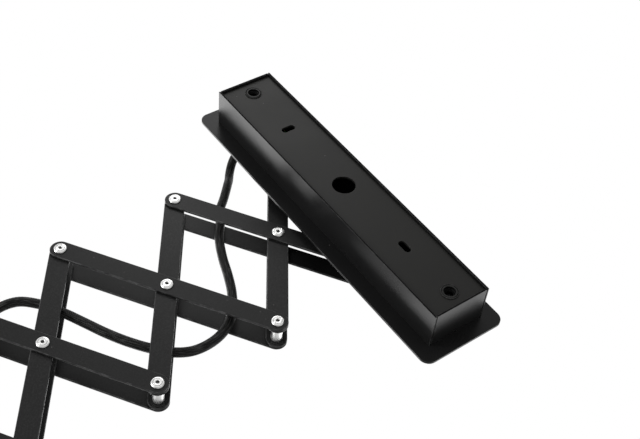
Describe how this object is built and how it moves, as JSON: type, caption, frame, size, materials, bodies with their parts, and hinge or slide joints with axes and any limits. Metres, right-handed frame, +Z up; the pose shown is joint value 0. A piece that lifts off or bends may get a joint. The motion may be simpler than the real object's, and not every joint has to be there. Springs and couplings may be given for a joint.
{
  "type": "accordion wall lamp",
  "caption": "Black wall lamp on a scissor arm that swings, pulls out and tilts a metal shade, with a braided cord.",
  "frame": {"origin": "on the wall, at the centre of the wall box and of the cable hole in its bracket", "axes": "+Y into the wall, -Y into the room, +Z up the wall along the box, +X to the right seen from the room. The arm is drawn swung to +X, alongside the wall, half way open."},
  "size_m": [0.4823, 0.0977, 0.4015],
  "materials": {
    "black_coat": "satin black powder coat with a fine orange peel",
    "bracket_black": "matte black coat on the wall bracket",
    "bar_black": "satin black lacquer, a little wear along the edges",
    "screw_black": "black oxide",
    "zinc": "bright zinc plating",
    "tube_zinc": "turned steel, zinc plated",
    "terminal_plastic": "pale moulded plastic",
    "terminal_brass": "plain brass",
    "lead_plastic": "coloured lead insulation",
    "black_rubber": "black moulded rubber",
    "black_plastic": "black moulded plastic",
    "head_coat": "satin black outside, white inside the shade",
    "bulb_glass": "opal glass",
    "bulb_shell": "rolled aluminium thread",
    "cord_fabric": "black braided cover"
  },
  "bodies": {
    "wall_unit": {"wall_bracket": "bracket_black", "bracket_inserts": "bracket_black", "wall_box": "black_coat", "face_plate": "black_coat", "cover_screws": "screw_black", "terminal_block": "terminal_plastic", "terminal_screws": "terminal_brass", "inner_leads": "lead_plastic", "earth_screw": "zinc", "cord_gland": "black_rubber", "hinge_lug_top": "black_coat", "hinge_lug_bottom": "black_coat", "lug_screws": "screw_black", "hinge_pins": "zinc", "cord_wall": "cord_fabric"},
    "swing_bracket": {"swing_channel": "black_coat"},
    "falling_1": {"falling_bar_1_rear": "bar_black", "falling_bar_1_front": "bar_black", "pivot_rivets_1": "zinc", "spacer_tubes_1": "tube_zinc", "cord_arm_1": "cord_fabric"},
    "rising_1": {"rising_bar_1_rear": "bar_black", "rising_bar_1_front": "bar_black", "slide_rivet": "zinc", "slide_washers": "tube_zinc"},
    "rising_2": {"rising_bar_2_rear": "bar_black", "rising_bar_2_front": "bar_black", "cord_arm_2": "cord_fabric"},
    "falling_2": {"falling_bar_2_rear": "bar_black", "falling_bar_2_front": "bar_black", "pivot_rivets_2": "zinc", "spacer_tubes_2": "tube_zinc"},
    "falling_3": {"falling_bar_3_rear": "bar_black", "falling_bar_3_front": "bar_black", "pivot_rivets_3": "zinc", "spacer_tubes_3": "tube_zinc", "cord_arm_3": "cord_fabric"},
    "rising_3": {"rising_bar_3_rear": "bar_black", "rising_bar_3_front": "bar_black"},
    "rising_4": {"rising_bar_4_rear": "bar_black", "rising_bar_4_front": "bar_black", "end_rivet": "zinc", "end_washers": "tube_zinc", "cord_arm_4": "cord_fabric"},
    "falling_4": {"falling_bar_4_rear": "bar_black", "falling_bar_4_front": "bar_black", "pivot_rivets_4": "zinc", "spacer_tubes_4": "tube_zinc"},
    "front_bracket": {"front_channel": "black_coat", "tilt_nut": "zinc", "cord_drop": "cord_fabric"},
    "tilt_knob": {"tilt_bolt": "black_plastic"},
    "lamp_head": {"shade_neck": "head_coat", "holder_cap": "head_coat", "cap_bush": "black_rubber", "lamp_holder": "black_plastic", "shade": "head_coat", "shade_ring": "black_plastic", "bulb_globe": "bulb_glass", "bulb_cap": "bulb_shell"}
  },
  "joints": [
    {"name": "wall_swing", "type": "hinge", "parent": "wall_unit", "child": "swing_bracket", "pos_m": [0, -0.05175, 0], "axis": [0, 0, 1], "range_deg": [-180, 0], "deforming": ["cord_wall"]},
    {"name": "arm_extend", "type": "hinge", "parent": "swing_bracket", "child": "falling_1", "pos_m": [0, -0.05175, 0.086], "axis": [0, -1, 0], "range_deg": [-19.5, 20], "deforming": ["cord_arm_1", "cord_arm_2", "cord_arm_3", "cord_arm_4"]},
    {"name": "pivot_stage_1", "type": "hinge", "parent": "falling_1", "child": "rising_1", "pos_m": [0.04984, -0.05175, 0.01348], "axis": [0, -1, 0], "range_deg": [-40, 39]},
    {"name": "lower_pivot_1", "type": "hinge", "parent": "falling_1", "child": "rising_2", "pos_m": [0.09969, -0.05175, -0.05905], "axis": [0, -1, 0], "range_deg": [-40, 39]},
    {"name": "pivot_stage_2", "type": "hinge", "parent": "rising_2", "child": "falling_2", "pos_m": [0.14953, -0.05175, 0.01348], "axis": [0, -1, 0], "range_deg": [-39, 40]},
    {"name": "upper_pivot_2", "type": "hinge", "parent": "rising_2", "child": "falling_3", "pos_m": [0.19937, -0.05175, 0.086], "axis": [0, -1, 0], "range_deg": [-39, 40]},
    {"name": "pivot_stage_3", "type": "hinge", "parent": "falling_3", "child": "rising_3", "pos_m": [0.24922, -0.05175, 0.01348], "axis": [0, -1, 0], "range_deg": [-40, 39]},
    {"name": "lower_pivot_3", "type": "hinge", "parent": "falling_3", "child": "rising_4", "pos_m": [0.29906, -0.05175, -0.05905], "axis": [0, -1, 0], "range_deg": [-40, 39]},
    {"name": "pivot_stage_4", "type": "hinge", "parent": "rising_4", "child": "falling_4", "pos_m": [0.34891, -0.05175, 0.01348], "axis": [0, -1, 0], "range_deg": [-39, 40]},
    {"name": "front_pivot", "type": "hinge", "parent": "rising_4", "child": "front_bracket", "pos_m": [0.39875, -0.05175, 0.086], "axis": [0, -1, 0], "range_deg": [-19.5, 20]},
    {"name": "knob_turn", "type": "hinge", "parent": "front_bracket", "child": "tilt_knob", "pos_m": [0.39875, -0.05175, -0.11], "axis": [0, 1, 0], "range_deg": [-180, 180]},
    {"name": "head_tilt", "type": "hinge", "parent": "front_bracket", "child": "lamp_head", "pos_m": [0.39875, -0.05175, -0.11], "axis": [0, -1, 0], "range_deg": [-45, 90], "deforming": ["cord_drop"]}
  ],
  "couplings": [
    {"joint": "pivot_stage_1", "follows": "arm_extend", "ratio": -2},
    {"joint": "lower_pivot_1", "follows": "arm_extend", "ratio": -2},
    {"joint": "pivot_stage_2", "follows": "arm_extend", "ratio": 2},
    {"joint": "upper_pivot_2", "follows": "arm_extend", "ratio": 2},
    {"joint": "pivot_stage_3", "follows": "arm_extend", "ratio": -2},
    {"joint": "lower_pivot_3", "follows": "arm_extend", "ratio": -2},
    {"joint": "pivot_stage_4", "follows": "arm_extend", "ratio": 2},
    {"joint": "front_pivot", "follows": "arm_extend", "ratio": 1}
  ]
}
